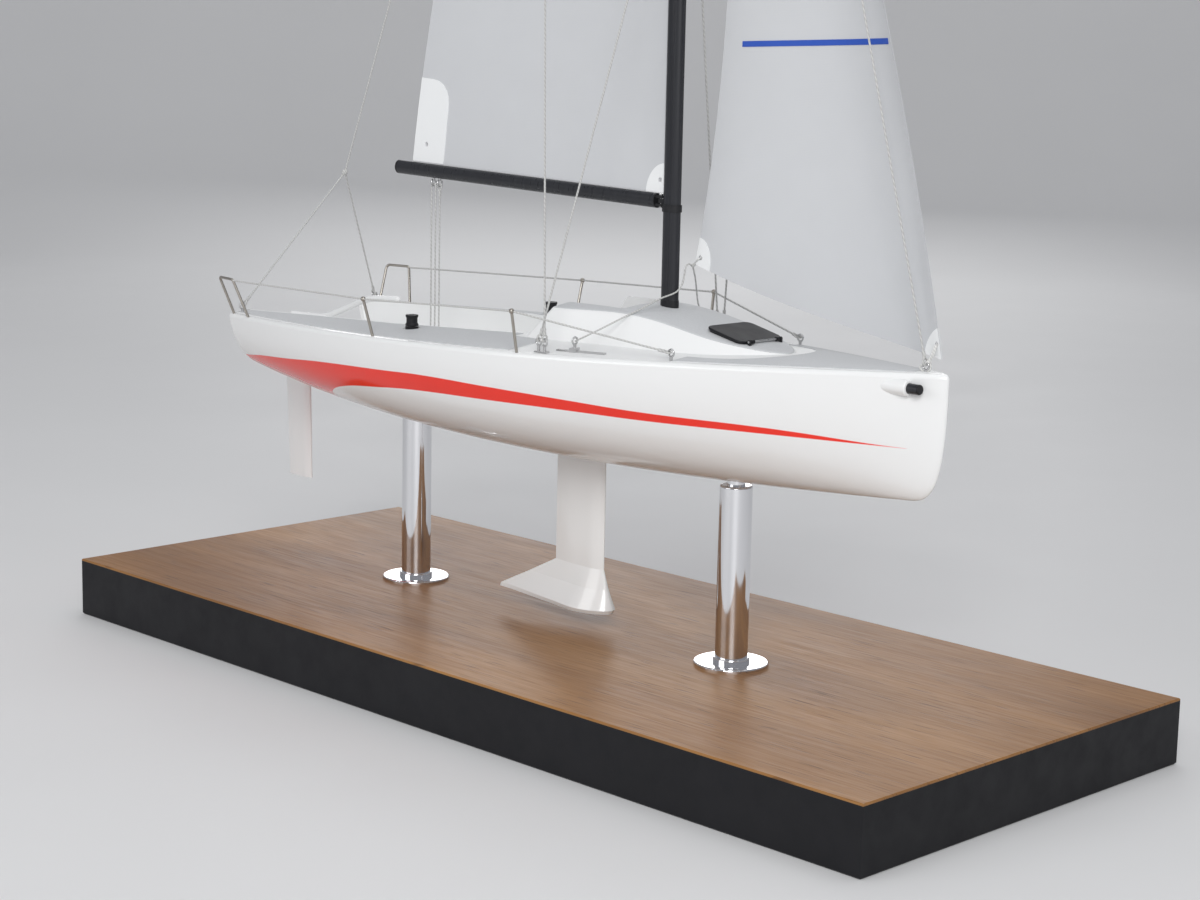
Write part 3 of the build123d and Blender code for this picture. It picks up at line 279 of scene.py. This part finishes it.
def band_mask(tree):
    """1 inside the hull's red band and 0 outside it."""
    axes = add(tree, "SeparateXYZ", {"Vector": where(tree)}).outputs
    along = remap(tree, axes["X"], BAND_X[0] * MM, BAND_X[1] * MM, 0.0, 1.0)
    up = remap(tree, axes["Z"], BAND_Z[0] * MM, BAND_Z[1] * MM, 0.0, 1.0)
    soft = EDGE_SOFTNESS / (BAND_Z[1] - BAND_Z[0])
    under_top = calc(tree, "SUBTRACT", band_edge(tree, along, BAND_TOP), up)
    over_low = calc(tree, "SUBTRACT", up, band_edge(tree, along, BAND_LOW))
    aft, fore = BAND_ENDS
    edges = [
        remap(tree, under_top, -soft, soft, 0.0, 1.0),
        remap(tree, over_low, -soft, soft, 0.0, 1.0),
        remap(tree, axes["X"], (fore - END_SOFTNESS) * MM, (fore + END_SOFTNESS) * MM, 1.0, 0.0),
        remap(tree, axes["X"], (aft - END_SOFTNESS) * MM, (aft + END_SOFTNESS) * MM, 0.0, 1.0),
    ]
    return calc(tree, "MULTIPLY", calc(tree, "MULTIPLY", *edges[:2]), calc(tree, "MULTIPLY", *edges[2:]))


def hull_paint():
    """Glossy white with the red band along the side."""
    made, tree, shader = material("hull_gelcoat", Coat_Weight=0.25, Coat_Roughness=0.05)
    cloud = noise(tree, 30.0, detail=4.0)
    white = tones(tree, cloud, WHITE, 0.985, 1.01)
    red = tones(tree, cloud, RED, 0.92, 1.05)
    link(tree, mix(tree, band_mask(tree), white, red), shader, "Base Color")
    link(tree, vary(tree, noise(tree, 90.0), 0.15, 0.24), shader, "Roughness")
    bump(tree, shader, noise(tree, 260.0, detail=2.0), 0.03, 0.0002)
    return made


def veneer():
    """Satin mahogany veneer: soft figure and fine fibres along the board, with short dark pores."""
    made, tree, shader = material("mahogany_veneer", Coat_Weight=0.08, Coat_Roughness=0.35,
                                  Specular_IOR_Level=0.35)
    figure = noise(tree, 9.0, (0.50, 3.2, 1.0), detail=5.0, roughness=0.55, distortion=0.5)
    cloud = noise(tree, 26.0, (0.5, 1.3, 1.0), detail=4.0)
    fibre = noise(tree, 260.0, (0.12, 3.0, 1.0), detail=4.0, roughness=0.6)
    pores = noise(tree, 420.0, (0.14, 2.6, 1.0), detail=2.0, roughness=0.5)
    tone = calc(tree, "ADD", calc(tree, "MULTIPLY", figure, 0.7), calc(tree, "MULTIPLY", cloud, 0.3))
    ramp = add(tree, "ValToRGB", {"Fac": tone})
    elements = ramp.color_ramp.elements
    elements[0].position = VENEER_STOPS[0][0]
    elements[1].position = VENEER_STOPS[-1][0]
    for position, _ in VENEER_STOPS[1:-1]:
        elements.new(position)
    for element, (_, colour) in zip(elements, VENEER_STOPS):
        element.color = (*colour, 1.0)
    fibred = mix(tree, remap(tree, fibre, 0.36, 0.66, 0.0, 0.26), ramp.outputs[0], VENEER_FIBRE)
    pore = remap(tree, pores, 0.60, 0.68, 0.0, 1.0)
    link(tree, mix(tree, calc(tree, "MULTIPLY", pore, 0.55), fibred, VENEER_PORE), shader, "Base Color")
    link(tree, vary(tree, fibre, 0.36, 0.50), shader, "Roughness")
    height = calc(tree, "SUBTRACT", calc(tree, "MULTIPLY", fibre, 0.4), pore)
    bump(tree, shader, height, 0.16, 0.0002)
    return made


def nonskid():
    """Light grey paint full of grit."""
    made, tree, shader = material("deck_nonskid")
    grit = noise(tree, 1500.0, detail=2.0, roughness=0.7)
    link(tree, tones(tree, grit, DECK_GREY, 0.86, 1.12), shader, "Base Color")
    link(tree, vary(tree, grit, 0.6, 0.8), shader, "Roughness")
    bump(tree, shader, grit, 0.35, 0.0003)
    return made


def roof_paint():
    """White cabin sides that turn to light grey non-skid on top, with a thin dark seam between."""
    made, tree, shader = material("coachroof_paint", Specular_IOR_Level=0.4)
    grit = noise(tree, 1500.0, detail=2.0, roughness=0.7)
    up = add(tree, "SeparateXYZ", {"Vector": add(tree, "NewGeometry").outputs["Normal"]}).outputs["Z"]
    top = remap(tree, up, ROOF_TURN - 0.010, ROOF_TURN + 0.010, 0.0, 1.0)
    seam_low = remap(tree, up, ROOF_TURN - 0.020, ROOF_TURN - 0.010, 0.0, 1.0)
    seam_high = remap(tree, up, ROOF_TURN + 0.005, ROOF_TURN + 0.015, 1.0, 0.0)
    seam = calc(tree, "MULTIPLY", calc(tree, "MULTIPLY", seam_low, seam_high), 0.6)
    paint = mix(tree, top, WHITE, tones(tree, grit, ROOF_GREY, 0.88, 1.1))
    link(tree, mix(tree, seam, paint, SEAM_GREY), shader, "Base Color")
    link(tree, remap(tree, top, 0.0, 1.0, 0.35, 0.65), shader, "Roughness")
    bump(tree, shader, calc(tree, "MULTIPLY", grit, top), 0.25, 0.0003)
    return made


def bare_metal(name, colour, roughness):
    """Bright or brushed metal with faint upright smears."""
    made, tree, shader = material(name, Metallic=1.0)
    smear = noise(tree, 40.0, (1, 1, 0.3), detail=4.0)
    link(tree, tones(tree, smear, colour, 0.96, 1.03), shader, "Base Color")
    link(tree, vary(tree, smear, roughness, roughness * 2.2), shader, "Roughness")
    bump(tree, shader, noise(tree, 700.0, (1, 1, 0.2)), 0.015, 0.0001)
    return made


def spar():
    """Satin black tube with upright drawing lines."""
    made, tree, shader = material("black_spar", Specular_IOR_Level=0.45)
    lines = noise(tree, 500.0, (1, 1, 0.02), detail=2.0)
    link(tree, mix(tree, lines, *SPAR_BLACKS), shader, "Base Color")
    link(tree, vary(tree, lines, 0.24, 0.38), shader, "Roughness")
    bump(tree, shader, lines, 0.06, 0.0001)
    return made


LOOKS = {
    "board_core": painted("board_black_paint", (0.008, 0.008, 0.010), 0.50, spread=0.07, mottle=0.25,
                          grain=500.0, bumps=0.10, Specular_IOR_Level=0.25),
    "board_veneer": veneer(),
    "chrome": bare_metal("polished_chrome", (0.80, 0.80, 0.82), 0.035),
    "gelcoat": hull_paint(),
    "deck_white": painted("deck_white_paint", WHITE, 0.50, spread=0.05, mottle=0.015,
                          grain=900.0, bumps=0.02, Specular_IOR_Level=0.35),
    "nonskid": nonskid(),
    "tint": painted("black_tinted", (0.010, 0.010, 0.012), 0.34, spread=0.05, mottle=0.3,
                    grain=600.0, bumps=0.03, Specular_IOR_Level=0.30),
    "black_spar": spar(),
    "black_fitting": painted("matte_black_fitting", (0.012, 0.012, 0.014), 0.46, spread=0.08, mottle=0.3,
                             grain=1200.0, bumps=0.2, Specular_IOR_Level=0.35),
    "nickel": bare_metal("nickel_wire", (0.42, 0.39, 0.35), 0.20),
    "steel": bare_metal("stainless_fittings", (0.60, 0.60, 0.60), 0.18),
    "sail_film": cloth("sailcloth", (0.60, 0.61, 0.625), 0.00055, mottle=0.025, weave=0.10),
    "sail_patch": cloth("sail_reinforcement", (0.87, 0.88, 0.88), 0.00040, mottle=0.015, weave=0.05),
    "stripe_blue": cloth("blue_draft_stripe", (0.020, 0.085, 0.46), 0.00040, mottle=0.06, weave=0.25),
    "thread": thread("rigging_thread", (0.56, 0.56, 0.545), 0.0008),
    "lashing": thread("white_thread", (0.70, 0.70, 0.68), 0.0007),
    "white_paint": painted("white_gloss_paint", WHITE, 0.20, spread=0.05, mottle=0.012,
                           grain=300.0, bumps=0.03, Coat_Weight=0.4, Coat_Roughness=0.05),
}
ROOF_LOOK = roof_paint()


def dress(obj, slot):
    obj.data.materials.clear()
    obj.data.materials.append(LOOKS[slot])


for part in frame["record"]["subparts"]:
    node = frame["nodes"][part["node"]]
    node.data.materials.clear()
    look = ROOF_LOOK if part["node"] == "coachroof" else LOOKS[part["material_slot"]]
    node.data.materials.append(look)


# ---- sail surfaces ----
def stay_x(z):
    """The forestay's X at a height."""
    share = (z - STAY_FOOT[2]) / (STAY_TOP[2] - STAY_FOOT[2])
    return STAY_FOOT[0] + share * (STAY_TOP[0] - STAY_FOOT[0])


def bezier_value(values, t):
    values = list(values)
    while len(values) > 1:
        values = [a + (b - a) * t for a, b in zip(values, values[1:])]
    return values[0]


def belly(s):
    """A chord's depth curve: nought at both ends and 1 at a third."""
    return 6.75 * s * (1 - s) ** 2


def main_point(s, t):
    """Mainsail: s runs from luff to leech and t from foot to head."""
    roach = t * (1 - t) * (MAIN_ROACH[0] - MAIN_ROACH[1] * t)
    width = MAIN_WIDTH * (1 - MAIN_TAPER * t + roach)
    foot = MAIN_FOOT_Z[0] + (MAIN_FOOT_Z[1] - MAIN_FOOT_Z[0]) * s
    depth = MAIN_CAMBER * tanh(9 * t) * (1 - 0.6 * t)
    return MAIN_LUFF_X - s * width, depth * belly(s), foot + (MAIN_HEAD_Z - foot) * t


def jib_point(s, t):
    """Jib: s runs from luff to leech and t from foot to head."""
    luff_z = JIB_TACK_Z + (JIB_HEAD_Z - JIB_TACK_Z) * t
    leech_z = JIB_CLEW_Z + (JIB_HEAD_Z - JIB_CLEW_Z) * t
    luff_x = stay_x(luff_z) + JIB_TACK_LEAD * (1 - t) ** 2
    leech_x = JIB_CLEW_X + JIB_LEECH_ROACH * t * (1 - t) - 0.1 * t
    luff_y = bezier_value(JIB_LUFF_Y, t)
    leech_y = 6 - 5 * t + JIB_LEECH_TWIST * t * (1 - t) ** 2
    round_of_foot = JIB_FOOT_ROUND * s * (1 - s) * (1 - t) ** 8
    x = luff_x + (leech_x - luff_x) * s
    y = luff_y + (leech_y - luff_y) * s + JIB_CAMBER * (1 - t**3) * belly(s)
    return x, y, luff_z + (leech_z - luff_z) * s - round_of_foot


def creased(point, corners):
    """A sail's surface with faint creases that fan out of its loaded corners.

    A corner is (x, z, the fan's middle direction, the creases' height).
    """
    def at(s, t):
        x, y, z = point(s, t)
        rise = 0.0
        for corner_x, corner_z, aim, depth in corners:
            along, up = x - corner_x, z - corner_z
            far = hypot(along, up)
            near = (far / CREASE_START) ** 2
            fade = near * exp(-far / CREASE_REACH) / (1 + near)
            turn = atan2(up, along) - aim
            rise += depth * fade * cos(CREASES_PER_RADIAN * turn) * exp(-(turn / CREASE_SPREAD) ** 2)
        edge = min(1.0, 12 * s, 12 * (1 - s), 14 * t, 14 * (1 - t))
        return x, y + rise * max(edge, 0.0), z
    return at


# ---- mesh helpers ----
def show(name, data):
    made = bpy.data.objects.new(name, data)
    scene.collection.objects.link(made)
    return made


def mesh_object(name, vertices, faces, smooth):
    mesh = bpy.data.meshes.new(name)
    mesh.from_pydata(vertices, [], faces)
    mesh.validate()
    for face in mesh.polygons:
        face.use_smooth = smooth
    return show(name, mesh)


def film(name, point, low, thick, grid):
    """A closed sheet over a sail's surface, from low to low + thick across the boat."""
    columns, rows = grid
    vertices, faces = [], []
    for side in (low, low + thick):
        for i in range(columns + 1):
            for j in range(rows + 1):
                x, y, z = point(i / columns, j / rows)
                vertices.append((x * MM, (y + side) * MM, z * MM))
    layer = (columns + 1) * (rows + 1)

    def at(side, i, j):
        return side * layer + i * (rows + 1) + j

    for i in range(columns):
        for j in range(rows):
            quad = [(i, j), (i + 1, j), (i + 1, j + 1), (i, j + 1)]
            faces.append([at(0, *corner) for corner in quad[::-1]])
            faces.append([at(1, *corner) for corner in quad])
    rim = [(i, 0) for i in range(columns)] + [(columns, j) for j in range(rows)]
    rim += [(i, rows) for i in range(columns, 0, -1)] + [(0, j) for j in range(rows, 0, -1)]
    for first, second in zip(rim, rim[1:] + rim[:1]):
        faces.append([at(0, *first), at(0, *second), at(1, *second), at(1, *first)])
    return mesh_object(name, vertices, faces, smooth=True)


def prism(name, outline, half_width=0.06):
    """An (x, z) outline in millimetres as a block across the boat, half_width metres each way."""
    count = len(outline)
    vertices = [(x * MM, y, z * MM) for y in (-half_width, half_width) for x, z in outline]
    faces = [list(range(count)), list(range(2 * count - 1, count - 1, -1))]
    for i in range(count):
        after = (i + 1) % count
        faces.append([after, i, count + i, count + after])
    return mesh_object(name, vertices, faces, smooth=False)


def oval(centre_x, centre_z, radius_x, radius_z, count=48):
    return [(centre_x + radius_x * cos(2 * pi * i / count), centre_z + radius_z * sin(2 * pi * i / count))
            for i in range(count)]


def hole(x, z):
    return oval(x, z, HOLE_RADIUS, HOLE_RADIUS, 24)


def cut(obj, outlines, operation):
    """Cuts a sheet with (x, z) outlines: INTERSECT keeps what is inside, DIFFERENCE punches holes."""
    for i, outline in enumerate(outlines):
        tool = prism(f"cutter_{i}", outline)
        step = obj.modifiers.new("cut", "BOOLEAN")
        step.operation = operation
        step.solver = "EXACT"
        step.object = tool
        with bpy.context.temp_override(object=obj, active_object=obj, selected_objects=[obj]):
            bpy.ops.object.modifier_apply(modifier=step.name)
        bpy.data.objects.remove(tool)
    return obj


def smooth_by_angle(obj, degrees=40):
    with bpy.context.temp_override(object=obj, active_object=obj, selected_objects=[obj],
                                   selected_editable_objects=[obj]):
        bpy.ops.object.shade_smooth_by_angle(angle=radians(degrees))


def finish_piece(obj, slot, body, replaced):
    dress(obj, slot)
    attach(obj, body)
    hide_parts(replaced)


# ---- sails ----
main_clew, jib_clew, jib_tack = main_point(1, 0), jib_point(1, 0), jib_point(0, 0)
MAIN_HOLES = [
    hole(main_clew[0] + 8.5, main_clew[2] + 7.1),
    hole(MAIN_LUFF_X - 2.1, MAIN_FOOT_Z[0] + 4.7),
    hole(MAIN_HEAD_X, MAIN_HEAD_Z - 3.4),
]
JIB_HOLES = [
    hole(jib_clew[0] + 2.2, jib_clew[2] + 2.4),
    hole(jib_tack[0] - 2.9, jib_tack[2] + 4.6),
    hole(JIB_CLEW_X + 2.0, JIB_HEAD_Z - 2.2),
]
MAIN_CLEW_PATCH = [(-110, 196.1), (-82, 195.4), (-81.4, 199.0), (-79.5, 216.0), (-79.2, 219.6),
                   (-79.5, 222.2), (-80.5, 224.5), (-82.4, 226.6), (-85.0, 228.0), (-87.6, 228.6),
                   (-110, 230.2)]
MAIN_TACK_PATCH = oval(MAIN_LUFF_X, MAIN_FOOT_Z[0], 9.2, 10.7)
JIB_CLEW_PATCH = oval(jib_clew[0], jib_clew[2], 7.2, 9.7)
JIB_TACK_PATCH = oval(jib_tack[0], jib_tack[2], 8.9, 10.6)
STRIPE = [(66, 244.8), (134, 247.2), (133.6, 249.2), (66, 246.8)]

main_surface = creased(main_point, [(main_clew[0], main_clew[2], radians(62), 0.30),
                                    (MAIN_LUFF_X, MAIN_FOOT_Z[0], radians(125), 0.22)])
jib_surface = creased(jib_point, [(jib_clew[0], jib_clew[2], radians(48), 0.35),
                                  (jib_tack[0], jib_tack[2], radians(118), 0.30)])


def sail(name, surface, grid, holes, body, replaced):
    made = cut(film(name, surface, 0.0, FILM, grid), holes, "DIFFERENCE")
    smooth_by_angle(made)
    finish_piece(made, "sail_film", body, replaced)
    return made


def applied(name, surface, grid, outlines, holes, body, slot, replaced):
    """Pieces on both faces of a sail, inside the outlines."""
    pieces = []
    for side, low in (("starboard", -PATCH), ("port", FILM)):
        for i, outline in enumerate(outlines):
            made = film(f"{name}_{side}_{i}", surface, low, PATCH, grid)
            cut(made, [outline], "INTERSECT")
            cut(made, holes, "DIFFERENCE")
            smooth_by_angle(made)
            finish_piece(made, slot, body, replaced)
            pieces.append(made)
    return pieces


mainsail = sail("mainsail_cloth", main_surface, MAIN_GRID, MAIN_HOLES, "boom_and_mainsail", "mainsail")
main_patches = applied("mainsail_patch", main_surface, MAIN_GRID, [MAIN_CLEW_PATCH, MAIN_TACK_PATCH],
                       MAIN_HOLES, "boom_and_mainsail", "sail_patch", "mainsail_patches")
jib = sail("jib_cloth", jib_surface, JIB_GRID, JIB_HOLES, "jib_sail", "jib")
jib_patches = applied("jib_patch", jib_surface, JIB_GRID, [JIB_CLEW_PATCH, JIB_TACK_PATCH],
                      JIB_HOLES, "jib_sail", "sail_patch", "jib_patches")
stripes = applied("jib_stripe", jib_surface, JIB_GRID, [STRIPE], [], "jib_sail", "stripe_blue",
                  "jib_draft_stripe")


# ---- jib sheets ----
def thread_tube(name, points, diameter):
    """A thread along one smooth NURBS line, and the line's own points, in metres."""
    curve = bpy.data.curves.new(name + "_line", "CURVE")
    curve.dimensions = "3D"
    spline = curve.splines.new("NURBS")
    spline.points.add(len(points) - 1)
    for point, at in zip(spline.points, points):
        point.co = (*[value * MM for value in at], 1.0)
    spline.use_endpoint_u = True
    spline.order_u = 3
    spline.resolution_u = 12
    holder = show(name + "_line", curve)
    line = bpy.data.meshes.new_from_object(holder)
    path = [tuple(vertex.co) for vertex in line.vertices]
    curve.bevel_depth = diameter * MM / 2
    curve.bevel_resolution = 4
    curve.use_fill_caps = True
    bpy.context.view_layer.update()
    tube = bpy.data.meshes.new_from_object(holder.evaluated_get(bpy.context.evaluated_depsgraph_get()))
    bpy.data.objects.remove(holder)
    for face in tube.polygons:
        face.use_smooth = True
    return show(name, tube), path


for node, route in SHEET_ROUTES.items():
    cord, path = thread_tube(node + "_cord", [CLEW_KNOT, *route], THREAD)
    dress(cord, "thread")
    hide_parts(node)
    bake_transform(cord)


# ---- lashings ----
TIE_OUT = 0.9
TIE_IN = 0.8


def sail_y(point, x, z):
    """The Y of a sail's middle at (x, z), found by walking s and t towards it."""
    s = t = 0.0
    for _ in range(80):
        at_x, y, at_z = point(s, t)
        s = min(1.0, max(0.0, s + (at_x - x) / 120))
        t = min(1.0, max(0.0, t + (z - at_z) / 390))
    return y + FILM / 2


def lashing(name, points, body="jib_sail", replaced="jib_lashings", diameter=THREAD):
    tie, _ = thread_tube(name, points, diameter)
    finish_piece(tie, "lashing", body, replaced)


def hole_centre(outline, point):
    """The middle of a hole in a sail, as (x, y, z)."""
    x = sum(corner[0] for corner in outline) / len(outline)
    z = sum(corner[1] for corner in outline) / len(outline)
    return x, sail_y(point, x, z), z


x, y, z = hole_centre(JIB_HOLES[0], jib_point)
lashing("jib_clew_tie", [
    (x, y + TIE_OUT, z), (x, y - TIE_OUT, z), (x - 1.6, y - TIE_OUT, z - 1.4), (x - 3.3, y, z - 2.8),
    (x - 1.6, y + TIE_OUT, z - 1.4), (x, y + TIE_OUT, z),
])
lashing("jib_clew_knot", [(x - 3.0, y, z - 2.4), (x - 4.3, y, z - 3.4)], diameter=KNOT)

x, y, z = hole_centre(JIB_HOLES[1], jib_point)
lashing("jib_tack_tie", [
    (x, y + TIE_OUT, z), (x, y - TIE_OUT, z), (163.7, 1.2, 147.2), (163.2, 0.1, 144.5),
    (160.6, -0.6, 143.2), (159.8, -0.2, 141.6), (161.9, 0.1, 140.9), (164.0, 0.2, 141.6),
    (163.8, 0.6, 143.2), (163.1, 0.9, 144.6), (164.3, 1.6, 147.2), (x + 0.3, y - TIE_OUT, z),
    (x, y + TIE_OUT, z),
])
lashing("jib_tack_knot", [(163.1, 0.4, 144.0), (163.2, 0.5, 145.1)], diameter=KNOT)

x, y, z = hole_centre(JIB_HOLES[2], jib_point)
stay = stay_x(JIB_HEAD_Z + 3.0)
lashing("jib_head_tie", [
    (x, y + TIE_OUT, z), (x, y - TIE_IN, z), (stay + 0.4, -0.8, JIB_HEAD_Z + 2.2),
    (stay + 1.3, 0.0, JIB_HEAD_Z + 3.4), (stay, 0.9, JIB_HEAD_Z + 3.6),
    (stay - 1.2, 0.2, JIB_HEAD_Z + 2.4), (x - 0.2, y + TIE_OUT, z),
])

x, y, z = hole_centre(MAIN_HOLES[2], main_point)
lashing("main_head_tie", [
    (x, y + TIE_OUT, z), (x, y - TIE_IN, z), (x, -1.0, MAIN_HEAD_Z), (x, -0.3, MAIN_HEAD_Z + 2.2),
], "boom_and_mainsail", "main_halyard")

# ---- mainsheet: a copy of the CAD's shape, which runs between the block on the sole and the boom ----
falls = show("mainsheet_falls", frame["nodes"]["mainsheet"].data.copy())
dress(falls, "thread")
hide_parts("mainsheet")
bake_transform(falls)


# ---- stage, lights, camera ----
FLOOR_REACH = 2.2
WALL_TOP = 1.9
CORNER_RADIUS = 0.7
CORNER_STEPS = 16
FLOOR_HALF = 4.0
# Each light's place, the point it looks at, its size and its power.
LIGHTS = {
    "key": ((1.2, -1.2, 1.05), (0, 0, 0.15), (0.8, 0.8), 19.0),
    "fill": ((-0.5, -1.7, 0.8), (0, 0, 0.2), (1.2, 0.8), 6.5),
    "sheen": ((-1.15, 1.25, 0.42), (0, 0, 0.05), (0.9, 0.28), 2.2),
    "top": ((0.1, 0.2, 1.9), (0, 0, 0.0), (1.2, 1.2), 8.0),
}
SKY = (0.92, 0.94, 1.0, 1.0)
SKY_STRENGTH = 0.32


def stage_material():
    made, tree, shader = material("pale_floor")
    link(tree, mix(tree, noise(tree, 6.0), *FLOOR_GREYS), shader, "Base Color")
    link(tree, vary(tree, noise(tree, 14.0), 0.55, 0.65), shader, "Roughness")
    return made


def make_stage():
    """A pale floor that curves up into a wall behind the object."""
    profile = [(-FLOOR_REACH, 0.0), (FLOOR_REACH - CORNER_RADIUS, 0.0)]
    for i in range(1, CORNER_STEPS + 1):
        turn = pi / 2 * i / CORNER_STEPS
        profile.append((FLOOR_REACH - CORNER_RADIUS * (1 - sin(turn)), CORNER_RADIUS * (1 - cos(turn))))
    profile.append((FLOOR_REACH, WALL_TOP))
    away = Vector((cos(CAMERA_YAW), sin(CAMERA_YAW), 0.0))
    across = Vector((-away.y, away.x, 0.0))
    vertices = [tuple(away * along + across * side + Vector((0, 0, up)))
                for along, up in profile for side in (-FLOOR_HALF, FLOOR_HALF)]
    faces = [(2 * i, 2 * i + 1, 2 * i + 3, 2 * i + 2) for i in range(len(profile) - 1)]
    floor = mesh_object("floor", vertices, faces, smooth=True)
    floor.data.materials.append(stage_material())


def area_light(name, at, aim, size, power):
    light = bpy.data.lights.new(name, "AREA")
    light.shape = "RECTANGLE"
    light.size, light.size_y = size
    light.energy = power
    holder = show(name, light)
    holder.location = at
    holder.rotation_euler = (Vector(aim) - Vector(at)).to_track_quat("-Z", "Y").to_euler()


def make_world():
    world = bpy.data.worlds.new("studio")
    world.use_nodes = True
    background = world.node_tree.nodes["Background"]
    background.inputs["Color"].default_value = SKY
    background.inputs["Strength"].default_value = SKY_STRENGTH
    scene.world = world


def make_camera():
    data = bpy.data.cameras.new("camera")
    data.lens = LENS
    data.sensor_width = SENSOR
    data.clip_start = 0.01
    camera = show("camera", data)
    flat = cos(CAMERA_PITCH)
    ahead = Vector((cos(CAMERA_YAW) * flat, sin(CAMERA_YAW) * flat, sin(CAMERA_PITCH)))
    level = Vector((sin(CAMERA_YAW), -cos(CAMERA_YAW), 0.0))
    upright = level.cross(ahead)
    right = level * cos(CAMERA_ROLL) + upright * sin(CAMERA_ROLL)
    up = upright * cos(CAMERA_ROLL) - level * sin(CAMERA_ROLL)
    camera.matrix_world = Matrix((
        (right.x, up.x, -ahead.x, CAMERA_AT[0]),
        (right.y, up.y, -ahead.y, CAMERA_AT[1]),
        (right.z, up.z, -ahead.z, CAMERA_AT[2]),
        (0, 0, 0, 1),
    ))
    scene.camera = camera
    scene.view_settings.view_transform = "Standard"


make_stage()
make_world()
make_camera()
for name, settings in LIGHTS.items():
    area_light(name, *settings)
